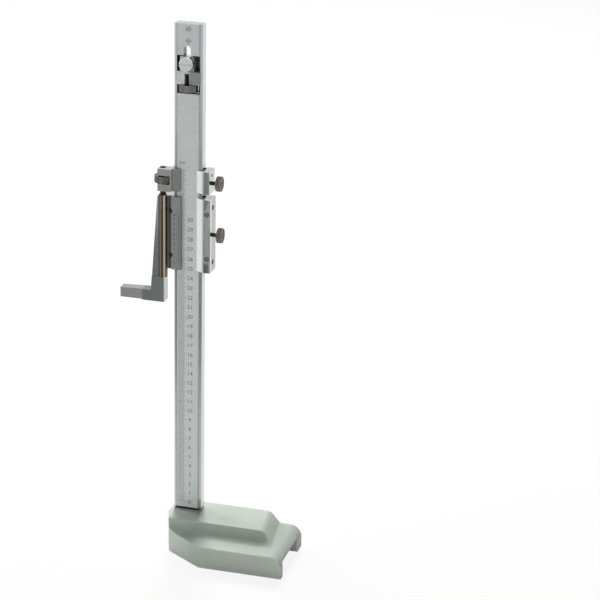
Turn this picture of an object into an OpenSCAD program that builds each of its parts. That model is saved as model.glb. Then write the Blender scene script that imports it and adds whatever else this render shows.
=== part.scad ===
// Vernier height gauge, 300 mm, with a cast base, a ground column and a fine-feed slider.
// X runs right along the base, Y runs back, Z runs up from the surface plate.
// The origin is on the underside of the base, below the centre of the column.

/* [Base] */
// Reach of the base to the left of the column centre
base_left = 17; // [15.5:0.5:18]
// Reach of the base to the right of the column centre
base_right = 114; // [108:1:150]
// Reach of the base in front of the column centre
base_front = 61; // [56:1:80]
// Reach of the base behind the column centre
base_back = 16; // [12:0.5:24]
// Height of the front step and of the right plateau
step_h = 22.5; // [19:0.5:28]
// Height of the ridge that carries the column
ridge_h = 34; // [30:0.5:34.5]
// Distance from the column centre to the front wall of the ridge
ridge_front = 29.5; // [24:0.5:40]
// Radius of the scooped front wall of the ridge
scoop_r = 16; // [4:0.5:30]
// Distance from the column centre to the front of the left end
nose_front = 35; // [33:0.5:45]
// How far the left end slants back to the right at its front
nose_slant = 7; // [2:0.5:12]
// Depth of the straight left end behind the column's front line
nose_flat = 16; // [10:0.5:20]
// Where the slanting side meets the front face
facet_x = 29; // [20:1:45]
// Where the ridge starts to fall to the plateau
slope_start = 79.5; // [70:0.5:84]
// Length of the fall from ridge to plateau
slope_run = 15.5; // [14:0.5:18.5]
// Radius of the crest of that fall
crest_round = 8; // [2:0.5:9]
// Radius of the foot of that fall
foot_round = 4; // [2:0.5:6]
// Angle by which that fall turns to the right towards the front
slope_turn = 6.5; // [0:0.5:8]
// Radius of the rounded right top edge
end_round = 12; // [6:0.5:16]
// Length of the hollow in the underside, open at the right end
hollow_len = 70; // [40:1:75]
// Width of the hollow in the underside
hollow_w = 55; // [40:1:57]
// Height of the hollow in the underside
hollow_h = 15; // [8:0.5:16]
// Radius of the hollow's upper corners
hollow_round = 2.5; // [2:0.5:7.5]
// Width of the solid rim in front of the hollow
front_rim = 7.5; // [6:0.5:14]

/* [Column] */
// Width of the column
column_w = 28; // [27:0.5:30]
// Depth of the column
column_d = 10; // [9.5:0.5:12]
// Height of the column top above the surface plate
column_top = 535; // [530:1:560]
// Height of the column foot in its seat
column_seat = 14; // [12:0.5:20]
// Play of the column foot in the base
seat_play = 0.05; // [0.02:0.01:0.1]
// Diameter of the screws that hold the column
column_screw_d = 6; // [4:0.5:7]
// Half the spacing of the column screws
column_screw_dx = 8; // [6:0.5:9]
// Engaged length of the column screws
column_screw_grip = 14; // [8:1:18]

/* [Main scale] */
// Visible width of the main scale
scale_w = 22.6; // [21:0.2:23]
// Thickness of the main scale
scale_t = 2.5; // [2:0.1:3]
// Undercut of the main scale's edges
dovetail = 1.2; // [0.6:0.1:1.4]
// Distance from the upper end of the main scale to the column top
adjuster_room = 67.7; // [63:0.1:90]
// Travel of the main scale each way
scale_travel = 1.5; // [0.5:0.1:2]
// Play of the main scale in its groove
scale_play = 0.15; // [0.05:0.01:0.2]

/* [Scale adjuster] */
// Offset of the adjuster from the column centre
adjuster_x = -1.5; // [-2:0.25:1]
// Height of the window in the column
window_h = 35.4; // [35:0.2:40]
// Wall left behind the window
window_wall = 2; // [1.5:0.1:2.5]
// Diameter of the knurled scale nut
scale_nut_d = 18.5; // [14:0.5:18.5]
// Thickness of the knurled scale nut
scale_nut_t = 6.9; // [5:0.1:8]
// Diameter of the threaded stud
stud_d = 4; // [3:0.25:4.5]
// Height of the anchor block
anchor_h = 12.8; // [9:0.1:13.5]
// Diameter of the lock screw
lock_d = 5; // [4:0.5:6]
// Diameter of the lock screw head
lock_head_d = 14; // [11:0.5:15]
// Thickness of the lock screw head
lock_head_t = 4; // [2:0.5:6]
// Width of the slot through the column top
slot_w = 7; // [6.5:0.5:9]
// Height of the slot above the window
slot_rise = 9; // [6:0.5:14]

/* [Slider] */
// Height of the measuring face in the resting pose
rest_height = 256; // [100:1:290]
// Height of the slider above the measuring face
slider_drop = 35; // [35:0.5:42]
// Height of the slider
slider_h = 74; // [66:1:84]
// Running play between slider and column
run_play = 0.05; // [0.02:0.01:0.1]
// Thickness of the left wall
left_wall = 6; // [5:0.1:7]
// Width of the right block
right_block = 7.6; // [7:0.2:10]
// Thickness of the back plate
back_t = 3.4; // [3:0.1:6]
// Thickness of the gib
gib_t = 1.45; // [1:0.05:2]
// Room for the gib behind its adjusting screws
gib_room = 0.3; // [0.2:0.05:0.6]
// Diameter of the gib screws
gib_screw_d = 3.5; // [2:0.25:4]
// Half the spacing of the slider's gib screws
gib_screw_dz = 27.7; // [20:0.1:31]
// Distance of the clamp axis in front of the column centre
clamp_forward = 0.5; // [0:0.1:2]

/* [Vernier and guide plates] */
// Thickness of the vernier plate
vernier_t = 3.75; // [3:0.05:5]
// Overlap of the vernier plate on the column
vernier_reach = 7.3; // [5:0.1:8]
// Width of the thin flange of the vernier plate
vernier_flange_w = 3.8; // [3:0.1:4.2]
// Distance of the vernier plate's screws from the edge of its thick part
vernier_screw_in = 1; // [0.4:0.1:1.2]
// Thickness of the thin flange of the vernier plate
vernier_flange_t = 1.6; // [1.2:0.1:2.4]
// Thickness of the guide plate
guide_t = 4.15; // [3.5:0.05:5]
// Overlap of the guide plate on the column
guide_reach = 5.5; // [4.5:0.1:6.5]
// Width of the bevelled lip of the guide plate
guide_lip_w = 8.1; // [7:0.1:8.5]
// Thickness of the guide plate at its reading edge
guide_edge_t = 0.3; // [0.2:0.1:1]
// Half the spacing of the plate screws
plate_screw_dz = 22.5; // [16:0.5:25]
// Diameter of the plate screws
plate_screw_d = 2.5; // [2:0.1:3]
// Diameter of the plate screw heads
plate_head_d = 4.2; // [3.5:0.1:4.6]
// Height of the plate screw heads
plate_head_t = 1.6; // [1:0.1:2]
// Length of the plate screws in the slider
plate_screw_grip = 6; // [4:0.5:9]

/* [Jaw] */
// Distance of the jaw tip from the column centre
jaw_reach = 69.3; // [60:0.5:90]
// Height of the jaw at its tip
jaw_tip_h = 10; // [7:0.2:11]
// Height of the jaw at its root
jaw_root_h = 11.3; // [9:0.1:13]
// Width of the arm at the jaw
arm_root_w = 13.8; // [12:0.2:17]
// Width of the arm at its top
arm_top_w = 10.6; // [10.4:0.1:13]
// How far the arm's right face steps left below the slider
arm_step = 3.3; // [1:0.1:4]
// Front of the arm beside the feed rod, in front of the column centre
arm_front = 8; // [6:0.25:8.5]
// Front of the jaw in front of the column centre
jaw_front = 9; // [8.5:0.25:12]
// Back of the jaw behind the column centre
jaw_back = 3; // [1:0.5:5]
// Length of the thinner nose
nose_len = 23; // [15:0.5:30]
// Setback of the nose from the jaw's front
nose_setback = 2; // [1:0.25:6]
// Diameter of the jaw screws
jaw_screw_d = 4; // [3:0.25:4.5]
// Half the spacing of the jaw screws
jaw_screw_dz = 20; // [14:0.5:24]
// Distance of the jaw screws behind the column centre
jaw_screw_y = 3.6; // [3.4:0.1:4.4]

/* [Fine feed] */
// Diameter of the feed rod
rod_d = 9; // [8:0.25:9.5]
// Distance of the feed rod in front of the column centre
rod_forward = 5.5; // [5:0.25:6]
// Length of the feed rod below the slider
rod_drop = 9; // [4:0.5:12]
// Height of the feed rod above the slider
rod_rise = 0.6; // [0.2:0.1:2]
// Diameter of the feed screw
feed_d = 6; // [5:0.25:6.5]
// Depth of the feed screw in the rod
feed_seat = 11; // [8:0.5:12]
// Radial play of the feed screw in the nut
feed_play = 0.05; // [0.02:0.01:0.1]
// Diameter of the knurled feed nut
feed_nut_d = 17; // [14:0.5:17]
// Thickness of the knurled rim of the feed nut
feed_rim_t = 7; // [4:0.25:7.25]
// Diameter of the feed nut's hubs
feed_hub_d = 9.5; // [8:0.5:12]
// Diameter of the pin through rod and feed screw
feed_pin_d = 1.5; // [1:0.1:2]

/* [Carrier] */
// Gap between slider and carrier in the resting pose
carrier_gap = 5.5; // [4.5:0.1:8]
// Height of the carrier
carrier_h = 22.4; // [20:0.2:28]
// How much the carrier's right block is narrower than the slider's
carrier_inset = 1.2; // [0:0.1:2]
// Thickness of the carrier's left wall
carrier_wall = 3.3; // [2.8:0.1:4]
// Thickness of the carrier's lips
carrier_lip_t = 3.9; // [3:0.1:5]
// Overlap of the carrier's left lip on the column
carrier_reach = 6.4; // [4:0.1:7]
// Front of the nut block in front of the column centre
nut_block_front = 12; // [11:0.25:15]
// Width of the nut block to the left of the feed axis
nut_block_left = 3.6; // [3.4:0.1:5]
// Thin wall beside the feed nut
nut_block_wall = 1.5; // [0.8:0.1:2]
// Height of the slot for the feed nut
nut_slot_h = 8.5; // [7.5:0.25:9.5]
// Height of the nut slot above the carrier's bottom
nut_slot_rise = 7.1; // [5:0.1:8]
// Height of the carrier clamp above the carrier's bottom
carrier_clamp_rise = 9.5; // [8:0.5:12]
// Height of the carrier's gib screw above its clamp
carrier_screw_rise = 7.8; // [6:0.1:9]

/* [Clamps] */
// Diameter of the clamp knobs
knob_d = 15; // [12:0.5:18]
// Thickness of the clamp knobs
knob_t = 5; // [4:0.25:8]
// Gap between block and clamp knob
knob_gap = 5; // [3:0.25:8]
// Diameter of the clamp stems
stem_d = 4; // [3:0.25:5]

/* [Hidden] */
$fn = 64;
// Overlap that carries each cut clear of the face it starts on
cut = 1;
// Play between two fixed pieces, such as a pin in its hole
fit = 0.02;
// Gap between the end of a screw or nut and the face it works against
end_gap = 0.1;
// Width and depth of a screwdriver slot
driver_w = 0.7;
driver_depth = 0.7;
// Extra depth of a blind screw hole, and play around a sunk head
hole_extra = 0.5;
head_play = 0.2;

// How far the scooped wall and the fall of the ridge dip under the plateau where they end
ridge_sink = 0.2;
// Height of those two, and how far the scooped wall runs out in front of the ridge
ridge_low = step_h - ridge_sink;
ridge_fall = ridge_h - ridge_low;
scoop_run = scoop_r > ridge_fall ? sqrt(2 * scoop_r * ridge_fall - ridge_fall * ridge_fall) : scoop_r;
slope_end = slope_start + slope_run;

// Column faces and the groove for the main scale
col_x = column_w / 2;
col_y = column_d / 2;
groove_w = scale_w + 2 * scale_play;
groove_t = scale_t + scale_play;
groove_back = -col_y + groove_t;
foot_room = 0.5;
scale_bottom = ridge_h + scale_travel + foot_room;
scale_top = column_top - adjuster_room;

// Screws that hold the column, sunk in the underside of the base
column_head_d = 10.2;
column_head_t = column_screw_d;
column_head_cover = 1;
column_head_sink = column_head_t + column_head_cover;

// Heights of the scale adjuster
nut_room_below = 0.3;
nut_floor = scale_top + scale_travel + nut_room_below;
anchor_bottom = nut_floor + scale_nut_t + 2 * end_gap;
anchor_top = anchor_bottom + anchor_h;
window_top = nut_floor + window_h;
lock_gap = 0.3;
lock_z = anchor_top + lock_gap + lock_head_d / 2;
tongue_top = lock_z + lock_head_d / 2;
slot_top = window_top + slot_rise;
slot_foot = 1;
window_back = col_y - window_wall;
anchor_play = 0.1;
anchor_proud = 1;
anchor_front = col_y + anchor_proud;
nut_relief = 0.5;
shelf_t = 3;
lug_h = 15;
lug_w = 10;
lug_play = 0.3;
lug_top = nut_floor - shelf_t - scale_travel - lug_play;
lug_bottom = lug_top - lug_h;
lug_clear = 1;
lug_back = window_back - lug_clear;
stud_y = (lug_back - (col_y - scale_t)) / 2;
stud_bottom = (lug_bottom + lug_top) / 2;
stud_play = 0.3;
stud_cover = 2;
stud_room = 1;
rivet_d = 2;
rivet_edge = 3;
lock_nut_t = 3;
lock_nut_d = 10;
lock_tail = 1;

// Screws of the top plate
top_screw_d = 2.5;
top_screw_grip = 3.5;
top_screw_edge = 5;
top_hole_d = 3;
top_head_d = 4.8;

// Slider faces
wall_in = -(col_x + run_play);
wall_out = wall_in - left_wall;
gib_in = col_x + run_play;
gib_out = gib_in + gib_t;
block_in = gib_out + gib_room;
block_out = block_in + right_block;
back_in = col_y + run_play;
back_out = back_in + back_t;
plate_back = -(col_y + run_play);
slider_bottom = rest_height + slider_drop;
slider_top = slider_bottom + slider_h;
slider_mid = (slider_bottom + slider_top) / 2;
clamp_y = -clamp_forward;
gib_recess = 1;
gib_side = 0.1;
set_screw_sink = 0.5;

// Plates
vernier_edge = -(col_x - vernier_reach);
vernier_lip = wall_out + vernier_flange_w;
vernier_screw_x = vernier_lip - vernier_screw_in;
vernier_front = plate_back - vernier_t;
flange_front = plate_back - vernier_flange_t;
recess_play = 0.5;
recess_d = plate_head_d + 2 * recess_play;
guide_edge = col_x - guide_reach;
guide_lip = guide_edge + guide_lip_w;
guide_front = plate_back - guide_t;
guide_screw_x = (guide_lip + block_out) / 2;
guide_head_cover = 0.3;
guide_sink = plate_head_t + guide_head_cover;

// Feed axis, rod and jaw
rod_gap = 0.85;
feed_x = wall_out - rod_gap - rod_d / 2;
feed_y = -rod_forward;
rod_bottom = slider_bottom - rod_drop;
rod_top = slider_top + rod_rise;
spigot_d = 4;
spigot_h = 8;
arm_clear = 1;
arm_top = slider_top - arm_clear;
arm_right = wall_out - arm_step;
arm_root_x = arm_right - arm_root_w;
arm_top_x = wall_out - arm_top_w;
foot_root_z = rest_height + jaw_root_h;
foot_tip_z = rest_height + jaw_tip_h;
arm_step_z = slider_bottom - arm_clear;
jaw_head_d = 7;
jaw_head_t = 3.6;
jaw_head_left = 1.2;
jaw_head_x = feed_x - jaw_head_left;
jaw_screw_cover = 0.5;
jaw_screw_end = wall_in - jaw_screw_cover;
pin_sink = 0.3;

// Carrier
carrier_bottom = slider_top + carrier_gap;
carrier_top = carrier_bottom + carrier_h;
carrier_out = block_out - carrier_inset;
carrier_front = plate_back - carrier_lip_t;
carrier_left = wall_in - carrier_wall;
carrier_edge = -(col_x - carrier_reach);
nut_room = 0.3;
nut_block_right = feed_x + feed_nut_d / 2 + nut_room + nut_block_wall;
nut_block_out = feed_x - nut_block_left;
nut_block_rear = 2;
nut_block_back = feed_y + feed_d / 2 + nut_block_rear;
nut_slot_z = carrier_bottom + nut_slot_rise;
feed_top_drop = 3;
feed_top = carrier_top - feed_top_drop;
carrier_clamp_z = carrier_bottom + carrier_clamp_rise;
carrier_screw_z = carrier_clamp_z + carrier_screw_rise;
knurl_edge = 0.6;
knob_cover = 1;

// A box between two values on each axis
module span(x, y, z) {
    translate([x[0], y[0], z[0]])
        cube([x[1] - x[0], y[1] - y[0], z[1] - z[0]]);
}

// A rod along Z, Y or X from one value to another
module rod_z(x, y, z, d) {
    translate([x, y, z[0]])
        cylinder(d = d, h = z[1] - z[0]);
}

module rod_y(x, y, z, d) {
    translate([x, y[0], z])
        rotate([-90, 0, 0])
            cylinder(d = d, h = y[1] - y[0]);
}

module rod_x(x, y, z, d) {
    translate([x[0], y, z])
        rotate([0, 90, 0])
            cylinder(d = d, h = x[1] - x[0]);
}

// An outline in X and Z, carried from one Y to another
module slab_xz(y, points) {
    translate([0, y[1], 0])
        rotate([90, 0, 0])
            linear_extrude(y[1] - y[0])
                polygon(points);
}

// A round body along X with both rims chamfered
module knurled_x(x, y, z, d) {
    translate([x[0], y, z])
        rotate([0, 90, 0])
            knurled(d, x[1] - x[0]);
}

module knurled(d, h) {
    rotate_extrude()
        polygon([
            [0, 0], [d / 2 - knurl_edge, 0], [d / 2, knurl_edge],
            [d / 2, h - knurl_edge], [d / 2 - knurl_edge, h], [0, h]
        ]);
}

// Plan of the base, seen from above
module base_plan() {
    polygon([
        [-base_left + nose_slant, -nose_front], [facet_x, -base_front],
        [base_right, -base_front], [base_right, base_back],
        [-base_left, base_back], [-base_left, -nose_flat]
    ]);
}

// Side outline of the ridge: flat top, then a straight fall with a rounded crest and foot down to the plateau
module ridge_side() {
    rounds = crest_round + foot_round;
    rise = ridge_fall - rounds;
    centres = sqrt(slope_run * slope_run + rise * rise);
    turn = atan2(rise, slope_run) + asin(rounds / centres);
    steps = 10;
    far_left = -base_left - base_front;
    crest = [for (i = [0 : steps])
        [slope_start + crest_round * sin(turn * i / steps),
            ridge_h - crest_round * (1 - cos(turn * i / steps))]];
    foot = [for (i = [steps : -1 : 0])
        [slope_end - foot_round * sin(turn * i / steps),
            ridge_low + foot_round * (1 - cos(turn * i / steps))]];
    polygon(concat([[far_left, 0]], [[far_left, ridge_h]], crest, foot, [[slope_end, 0]]));
}

// Ridge with its scooped front wall, before it is trimmed to the plan
module ridge() {
    x = [-base_left - cut, base_right];
    foot = -ridge_front - scoop_run;
    scoop_z = ridge_low + scoop_r;
    intersection() {
        translate([slope_start, 0, 0])
            rotate([0, 0, slope_turn])
                translate([-slope_start, base_front, 0])
                    rotate([90, 0, 0])
                        linear_extrude(2 * base_front)
                            ridge_side();
        difference() {
            span(x, [foot, base_back], [0, ridge_h]);
            if (scoop_r < ridge_fall)
                span([x[0] - cut, x[1] + cut], [foot - cut, -ridge_front], [scoop_z, ridge_h + cut]);
            rod_x([x[0] - cut, x[1] + cut], foot, scoop_z, 2 * scoop_r);
        }
    }
}

// Plate of the base with its rounded right top edge
module base_slab() {
    difference() {
        linear_extrude(step_h)
            base_plan();
        difference() {
            span([base_right - end_round, base_right + cut], [-base_front - cut, base_back + cut],
                [step_h - end_round, step_h + cut]);
            rod_y(base_right - end_round, [-base_front - 2 * cut, base_back + 2 * cut],
                step_h - end_round, 2 * end_round);
        }
    }
}

// Hollow of the underside with rounded upper corners
module hollow() {
    x = [base_right - hollow_len, base_right + cut];
    front = -base_front + front_rim;
    back = front + hollow_w;
    span(x, [front, back], [-cut, hollow_h - hollow_round]);
    span(x, [front + hollow_round, back - hollow_round], [-cut, hollow_h]);
    for (y = [front + hollow_round, back - hollow_round])
        rod_x(x, y, hollow_h - hollow_round, 2 * hollow_round);
}

module base() {
    color([0.66, 0.70, 0.66])
        difference() {
            union() {
                base_slab();
                intersection() {
                    linear_extrude(ridge_h)
                        base_plan();
                    ridge();
                }
            }
            span([-col_x - seat_play, col_x + seat_play], [-col_y - seat_play, col_y + seat_play],
                [column_seat, ridge_h + cut]);
            for (side = [-1, 1]) {
                rod_z(side * column_screw_dx, 0, [-cut, column_seat + cut], column_screw_d + 2 * seat_play);
                rod_z(side * column_screw_dx, 0, [-cut, column_head_sink], column_head_d + 2 * head_play);
            }
            hollow();
        }
}

// Cross-section of the dovetailed strips, and of their groove when play is added
module strip_section(width, depth) {
    polygon([
        [-width / 2, -col_y], [width / 2, -col_y],
        [width / 2 + dovetail, -col_y + depth], [-width / 2 - dovetail, -col_y + depth]
    ]);
}

module column() {
    color([0.72, 0.74, 0.75])
        difference() {
            span([-col_x, col_x], [-col_y, col_y], [column_seat, column_top]);
            translate([0, 0, ridge_h])
                linear_extrude(column_top - ridge_h + cut)
                    strip_section(groove_w, groove_t);
            span([-groove_w / 2, groove_w / 2], [-col_y - cut, window_back], [nut_floor, window_top]);
            rod_z(adjuster_x, stud_y, [nut_floor, anchor_bottom], scale_nut_d + 2 * nut_relief);
            rod_z(adjuster_x, stud_y, [lug_bottom, nut_floor + cut], stud_d + 2 * stud_play);
            span([adjuster_x - lug_w / 2 - lug_play, adjuster_x + lug_w / 2 + lug_play],
                [groove_back - cut, lug_back + lug_play],
                [lug_bottom - scale_travel - lug_play, lug_top + scale_travel + lug_play]);
            column_slot([-col_y - cut, col_y + cut]);
            for (side = [-1, 1])
                rod_z(side * column_screw_dx, 0,
                    [column_seat - cut, column_seat + column_screw_grip + hole_extra],
                    column_screw_d + 2 * fit);
            for (z = top_screw_heights())
                rod_y(0, [groove_back - cut, groove_back + top_screw_grip + hole_extra], z,
                    top_screw_d + 2 * fit);
        }
}

// Upright slot through the column top for the lock screw
module column_slot(y) {
    slot_bottom = lock_z - lock_d / 2 - slot_foot;
    span([adjuster_x - slot_w / 2, adjuster_x + slot_w / 2], y, [slot_bottom, slot_top - slot_w / 2]);
    rod_y(adjuster_x, y, slot_top - slot_w / 2, slot_w);
}

function top_screw_heights() = [slot_top + top_screw_edge, column_top - top_screw_edge];

module column_screws() {
    color([0.15, 0.15, 0.16])
        for (side = [-1, 1])
            difference() {
                union() {
                    rod_z(side * column_screw_dx, 0, [column_head_sink - column_head_t, column_head_sink],
                        column_head_d);
                    rod_z(side * column_screw_dx, 0, [column_head_sink, column_seat + column_screw_grip],
                        column_screw_d);
                }
                translate([side * column_screw_dx, 0, 0])
                    cylinder(d = column_screw_d, h = column_head_sink - column_head_t / 2, $fn = 6);
            }
}

module top_plate() {
    color([0.70, 0.73, 0.73])
        difference() {
            translate([0, 0, window_top])
                linear_extrude(column_top - window_top)
                    strip_section(scale_w, scale_t);
            column_slot([-col_y - cut, col_y]);
            for (z = top_screw_heights()) {
                rod_y(0, [-col_y - cut, col_y], z, top_hole_d);
                rod_y(0, [-col_y - cut, -col_y + scale_t / 2], z, top_head_d + head_play);
            }
        }
}

module top_plate_screws() {
    color([0.55, 0.56, 0.57])
        for (z = top_screw_heights())
            difference() {
                union() {
                    rod_y(0, [-col_y + end_gap, -col_y + scale_t / 2], z, top_head_d);
                    rod_y(0, [-col_y + scale_t / 2, groove_back + top_screw_grip], z, top_screw_d);
                }
                span([-top_head_d, top_head_d], [-col_y - cut, -col_y + driver_depth],
                    [z - driver_w / 2, z + driver_w / 2]);
            }
}

module scale_anchor() {
    half = groove_w / 2 - anchor_play;
    color([0.74, 0.76, 0.75])
        difference() {
            union() {
                span([-half, half], [-anchor_front, window_back - anchor_play], [anchor_bottom, anchor_top]);
                span([adjuster_x - lock_head_d / 2, adjuster_x + lock_head_d / 2],
                    [-col_y, window_back - anchor_play], [anchor_top - cut, tongue_top]);
            }
            rod_z(adjuster_x, stud_y, [anchor_bottom - cut, anchor_top - stud_cover], stud_d + 2 * stud_play);
            span([adjuster_x - stud_d / 2 - stud_play, adjuster_x + stud_d / 2 + stud_play],
                [-anchor_front - cut, stud_y], [anchor_bottom - cut, anchor_top - stud_cover]);
            rod_y(adjuster_x, [-anchor_front - cut, col_y], lock_z, lock_d + 2 * run_play);
        }
}

module scale_lock_nut() {
    color([0.35, 0.35, 0.36])
        difference() {
            translate([adjuster_x, col_y, lock_z])
                rotate([-90, 0, 0])
                    cylinder(d = lock_nut_d, h = lock_nut_t, $fn = 6);
            rod_y(adjuster_x, [col_y - cut, col_y + lock_nut_t + cut], lock_z, lock_d + 2 * run_play);
        }
}

module scale_lock_screw() {
    head_back = -col_y - end_gap;
    head_front = head_back - lock_head_t;
    color([0.80, 0.82, 0.82])
        difference() {
            union() {
                translate([adjuster_x, head_back, lock_z])
                    rotate([90, 0, 0])
                        knurled(lock_head_d, lock_head_t);
                rod_y(adjuster_x, [head_back, col_y + lock_nut_t + lock_tail], lock_z, lock_d);
            }
            span([adjuster_x - lock_head_d, adjuster_x + lock_head_d],
                [head_front - cut, head_front + driver_depth], [lock_z - driver_w, lock_z + driver_w]);
        }
}

module scale_adjust_nut() {
    color([0.36, 0.31, 0.29])
        difference() {
            translate([adjuster_x, stud_y, nut_floor + end_gap])
                knurled(scale_nut_d, scale_nut_t);
            rod_z(adjuster_x, stud_y, [nut_floor - cut, anchor_bottom + cut], stud_d + 2 * run_play);
        }
}

function rivet_heights() = [lug_bottom + rivet_edge, lug_top - rivet_edge];

module main_scale() {
    color([0.68, 0.71, 0.71])
        difference() {
            translate([0, 0, scale_bottom])
                linear_extrude(scale_top - scale_bottom)
                    strip_section(scale_w, scale_t);
            for (z = rivet_heights())
                rod_y(adjuster_x, [-col_y - cut, col_y], z, rivet_d + 2 * fit);
        }
}

module scale_lug() {
    color([0.45, 0.45, 0.46])
        difference() {
            span([adjuster_x - lug_w / 2, adjuster_x + lug_w / 2], [-col_y + scale_t, lug_back],
                [lug_bottom, lug_top]);
            for (z = rivet_heights())
                rod_y(adjuster_x, [-col_y, lug_back + cut], z, rivet_d + 2 * fit);
            rod_z(adjuster_x, stud_y, [stud_bottom - end_gap, lug_top + cut], stud_d + 2 * fit);
        }
}

module scale_rivets() {
    // The upper rivet stops short of the stud, the lower one passes below it
    ends = [lug_back, stud_y - stud_d / 2 - end_gap];
    color([0.66, 0.69, 0.69])
        for (i = [0, 1])
            rod_y(adjuster_x, [-col_y, ends[i]], rivet_heights()[i], rivet_d);
}

module scale_stud() {
    color([0.17, 0.17, 0.18])
        rod_z(adjuster_x, stud_y,
            [stud_bottom, anchor_top - stud_cover - stud_room - scale_travel], stud_d);
}

// Lip on the right of the scale, bevelled from its flange down to a thin reading edge
module reading_lip(front, out, z) {
    translate([0, 0, z[0]])
        linear_extrude(z[1] - z[0])
            polygon([
                [guide_edge, plate_back], [guide_edge, plate_back - guide_edge_t],
                [guide_lip, front], [out, front], [out, plate_back]
            ]);
}

// Bores for a clamp stem and a set screw in a right-hand block
module side_bore(x, z, d) {
    rod_x([x[0] - cut, x[1] + cut], clamp_y, z, d + 2 * run_play);
}

module carrier_body() {
    z = [carrier_bottom, carrier_top];
    color([0.55, 0.58, 0.57])
        difference() {
            union() {
                span([carrier_left, carrier_edge], [carrier_front, plate_back], z);
                reading_lip(carrier_front, carrier_out, z);
                span([carrier_left, wall_in], [carrier_front, back_out], z);
                span([block_in, carrier_out], [plate_back - guide_edge_t, back_out], z);
                span([carrier_left, carrier_out], [back_in, back_out], z);
                span([nut_block_out, nut_block_right], [-nut_block_front, nut_block_back], z);
            }
            rod_z(feed_x, feed_y, [nut_slot_z, nut_slot_z + nut_slot_h], feed_nut_d + 2 * nut_room);
            span([nut_block_out - cut, feed_x + feed_nut_d / 2 + nut_room], [-nut_block_front - cut, feed_y],
                [nut_slot_z, nut_slot_z + nut_slot_h]);
            rod_z(feed_x, feed_y, [carrier_bottom - cut, carrier_top + cut], feed_d + 4 * feed_play);
            side_bore([block_in, carrier_out], carrier_clamp_z, stem_d);
            side_bore([block_in, carrier_out], carrier_screw_z, gib_screw_d);
        }
}

// Flat strip between the column and a right-hand block
module gib(z) {
    span([gib_in, gib_out], [-col_y + gib_side, col_y - gib_side], [z[0] + gib_recess, z[1] - gib_recess]);
}

module carrier_gib() {
    color([0.50, 0.47, 0.40])
        gib([carrier_bottom, carrier_top]);
}

// Slotted set screw that bears on a gib
module gib_screw(z, out) {
    tail = out - set_screw_sink;
    difference() {
        rod_x([gib_out + end_gap, tail], clamp_y, z, gib_screw_d);
        span([tail - driver_depth, tail + cut], [clamp_y - gib_screw_d, clamp_y + gib_screw_d],
            [z - driver_w / 2, z + driver_w / 2]);
    }
}

module carrier_gib_screw() {
    color([0.16, 0.16, 0.17])
        gib_screw(carrier_screw_z, carrier_out);
}

// Knurled clamp knob with its bore, on the right of a block
module clamp_knob(z, out) {
    difference() {
        knurled_x([out + knob_gap, out + knob_gap + knob_t], clamp_y, z, knob_d);
        rod_x([out, out + knob_gap + knob_t - knob_cover], clamp_y, z, stem_d + 2 * fit);
    }
}

// Clamp stem from the gib to the knob
module clamp_stem(z, out) {
    rod_x([gib_out + end_gap, out + knob_gap + knob_t - knob_cover], clamp_y, z, stem_d);
}

module carrier_clamp_knob() {
    color([0.36, 0.31, 0.29])
        clamp_knob(carrier_clamp_z, carrier_out);
}

module carrier_clamp_stem() {
    color([0.13, 0.13, 0.14])
        clamp_stem(carrier_clamp_z, carrier_out);
}

module feed_nut() {
    hub_h = nut_slot_h - 2 * end_gap;
    color([0.36, 0.31, 0.29])
        difference() {
            union() {
                rod_z(feed_x, feed_y, [nut_slot_z + end_gap, nut_slot_z + end_gap + hub_h], feed_hub_d);
                translate([feed_x, feed_y, nut_slot_z + (nut_slot_h - feed_rim_t) / 2])
                    knurled(feed_nut_d, feed_rim_t);
            }
            rod_z(feed_x, feed_y, [nut_slot_z - cut, nut_slot_z + nut_slot_h + cut], feed_d + 2 * feed_play);
        }
}

function plate_screw_heights() = [slider_mid - plate_screw_dz, slider_mid + plate_screw_dz];
function gib_screw_heights() = [slider_mid - gib_screw_dz, slider_mid + gib_screw_dz];
function jaw_screw_heights() = [slider_mid - jaw_screw_dz, slider_mid + jaw_screw_dz];

module slider_body() {
    color([0.52, 0.55, 0.56])
        difference() {
            union() {
                span([wall_out, wall_in], [plate_back, back_out], [slider_bottom, slider_top]);
                span([block_in, block_out], [plate_back, back_out], [slider_bottom, slider_top]);
                span([wall_out, block_out], [back_in, back_out], [slider_bottom, slider_top]);
            }
            for (z = plate_screw_heights())
                for (x = [vernier_screw_x, guide_screw_x])
                    rod_y(x, [plate_back - cut, plate_back + plate_screw_grip + hole_extra], z,
                        plate_screw_d + 2 * fit);
            for (z = gib_screw_heights())
                side_bore([block_in, block_out], z, gib_screw_d);
            side_bore([block_in, block_out], slider_mid, stem_d);
            for (z = jaw_screw_heights())
                rod_x([wall_out - cut, jaw_screw_end + 2 * end_gap], jaw_screw_y, z, jaw_screw_d + 2 * fit);
        }
}

module vernier_plate() {
    color([0.46, 0.49, 0.50])
        difference() {
            union() {
                span([vernier_lip, vernier_edge], [vernier_front, plate_back], [slider_bottom, slider_top]);
                span([wall_out, vernier_lip + cut], [flange_front, plate_back], [slider_bottom, slider_top]);
            }
            for (z = plate_screw_heights()) {
                rod_y(vernier_screw_x, [vernier_front - cut, plate_back + cut], z, plate_screw_d + 2 * fit);
                rod_y(vernier_screw_x, [vernier_front - cut, flange_front], z, recess_d);
            }
        }
}

// Slotted plate screw, seated with its head in front of seat
module plate_screw(x, seat, z) {
    difference() {
        union() {
            rod_y(x, [seat - plate_head_t, seat], z, plate_head_d);
            rod_y(x, [seat, plate_back + plate_screw_grip], z, plate_screw_d);
        }
        span([x - plate_head_d, x + plate_head_d],
            [seat - plate_head_t - cut, seat - plate_head_t + driver_depth],
            [z - driver_w / 2, z + driver_w / 2]);
    }
}

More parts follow.
